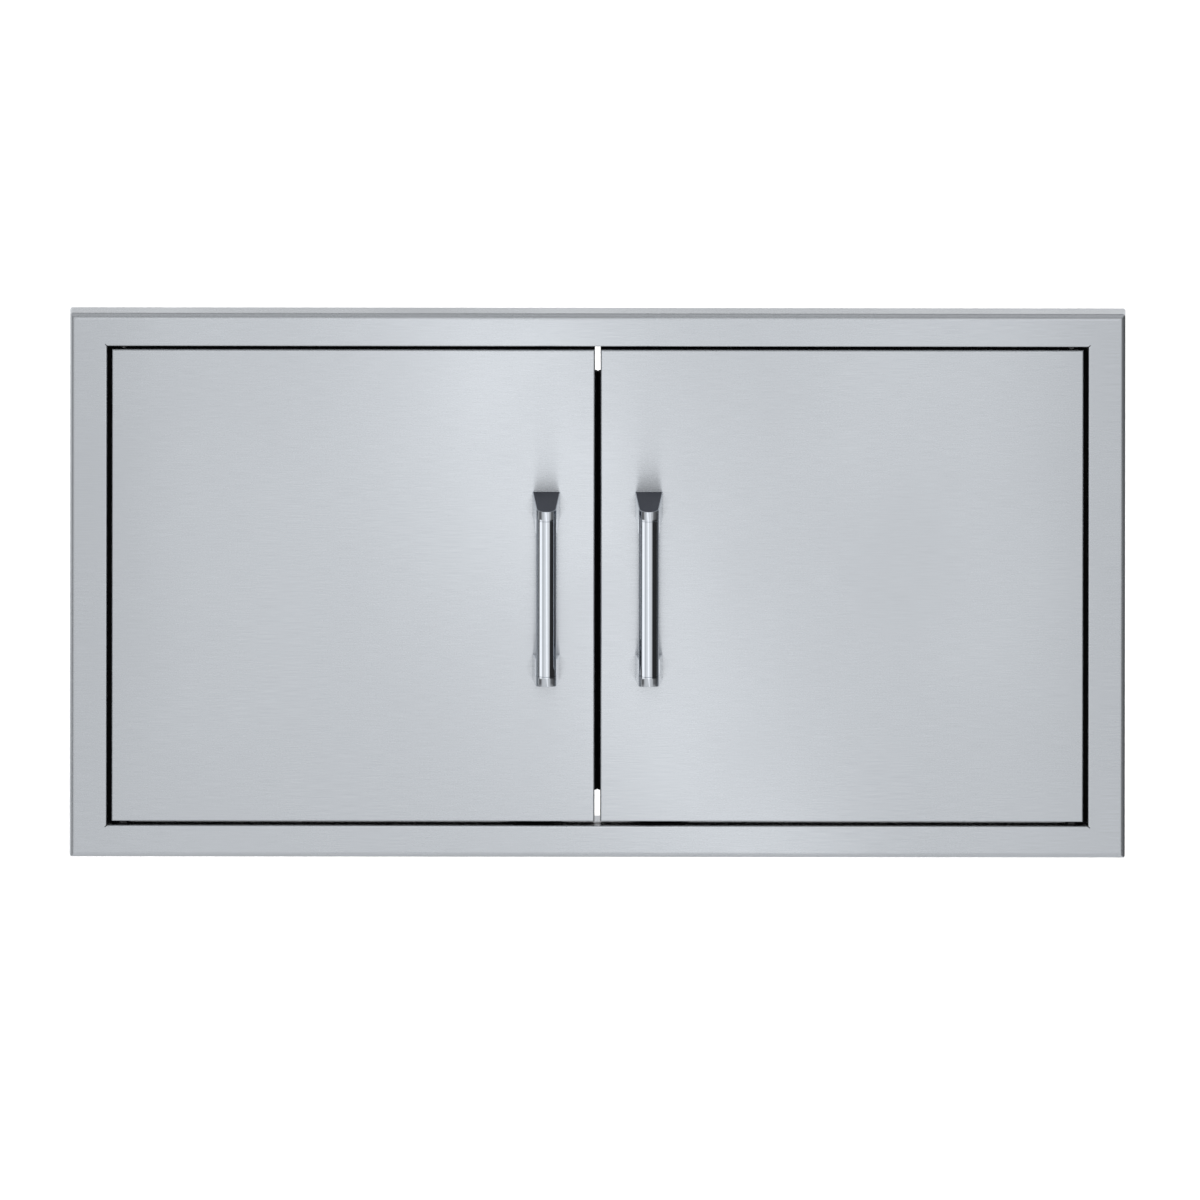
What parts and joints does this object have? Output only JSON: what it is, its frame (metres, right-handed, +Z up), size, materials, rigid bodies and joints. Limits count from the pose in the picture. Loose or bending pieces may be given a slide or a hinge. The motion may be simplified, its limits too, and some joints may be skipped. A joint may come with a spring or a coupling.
{
  "type": "bbq island access door",
  "caption": "Flush access door set for an outdoor kitchen island: paired hollow steel leaves with bar handles, sprung pivot pins and magnetic catches in a raised trim frame.",
  "frame": {"origin": "centre of the door opening, on the wall plane that the trim frame seats against", "axes": "+X to the right, +Y into the wall, +Z up; the front faces -Y"},
  "size_m": [1.0668, 0.1082, 0.564],
  "materials": {
    "stainless": "brushed",
    "polished_chrome": "polished",
    "dark_inlay": "satin",
    "pivot_steel": "satin",
    "bush_plastic": "matte",
    "catch_plastic": "matte",
    "seal_rubber": "matte"
  },
  "bodies": {
    "frame": {"frame_top_rail": "stainless", "frame_bottom_rail": "stainless", "frame_left_stile": "stainless", "frame_right_stile": "stainless", "left_jamb_seal": "seal_rubber", "right_jamb_seal": "seal_rubber", "upper_left_hinge_bush": "bush_plastic", "upper_left_catch_housing": "catch_plastic", "upper_left_catch_magnet": "pivot_steel", "upper_right_hinge_bush": "bush_plastic", "upper_right_catch_housing": "catch_plastic", "upper_right_catch_magnet": "pivot_steel", "lower_left_hinge_bush": "bush_plastic", "lower_left_catch_housing": "catch_plastic", "lower_left_catch_magnet": "pivot_steel", "lower_right_hinge_bush": "bush_plastic", "lower_right_catch_housing": "catch_plastic", "lower_right_catch_magnet": "pivot_steel"},
    "left_door": {"left_door_skin": "stainless", "left_door_liner": "stainless", "left_upper_hinge_carrier": "pivot_steel", "left_lower_hinge_carrier": "pivot_steel", "left_pin_spring": "pivot_steel", "left_lower_hinge_pin": "pivot_steel", "left_upper_strike_plate": "pivot_steel", "left_lower_strike_plate": "pivot_steel", "left_centre_seal": "seal_rubber", "left_handle_tube": "polished_chrome", "left_upper_handle_post": "polished_chrome", "left_lower_handle_post": "polished_chrome", "left_upper_handle_inlay": "dark_inlay", "left_lower_handle_inlay": "dark_inlay"},
    "right_door": {"right_door_skin": "stainless", "right_door_liner": "stainless", "right_upper_hinge_carrier": "pivot_steel", "right_lower_hinge_carrier": "pivot_steel", "right_pin_spring": "pivot_steel", "right_lower_hinge_pin": "pivot_steel", "right_upper_strike_plate": "pivot_steel", "right_lower_strike_plate": "pivot_steel", "right_centre_seal": "seal_rubber", "right_handle_tube": "polished_chrome", "right_upper_handle_post": "polished_chrome", "right_lower_handle_post": "polished_chrome", "right_upper_handle_inlay": "dark_inlay", "right_lower_handle_inlay": "dark_inlay"},
    "left_upper_pin": {"left_upper_hinge_pin": "pivot_steel"},
    "right_upper_pin": {"right_upper_hinge_pin": "pivot_steel"}
  },
  "joints": [
    {"name": "left_door_swing", "type": "hinge", "parent": "frame", "child": "left_door", "pos_m": [-0.4792, -0.022, 0], "axis": [0, 0, -1], "range_deg": [0, 110]},
    {"name": "right_door_swing", "type": "hinge", "parent": "frame", "child": "right_door", "pos_m": [0.4792, -0.022, 0], "axis": [0, 0, 1], "range_deg": [0, 110]},
    {"name": "left_pin_slide", "type": "slide", "parent": "left_door", "child": "left_upper_pin", "axis": [0, 0, -1], "range_m": [0, 0.009], "stiffness_N_per_m": 400, "springref_m": -0.02, "deforming": ["left_pin_spring"]},
    {"name": "right_pin_slide", "type": "slide", "parent": "right_door", "child": "right_upper_pin", "axis": [0, 0, -1], "range_m": [0, 0.009], "stiffness_N_per_m": 400, "springref_m": -0.02, "deforming": ["right_pin_spring"]}
  ]
}
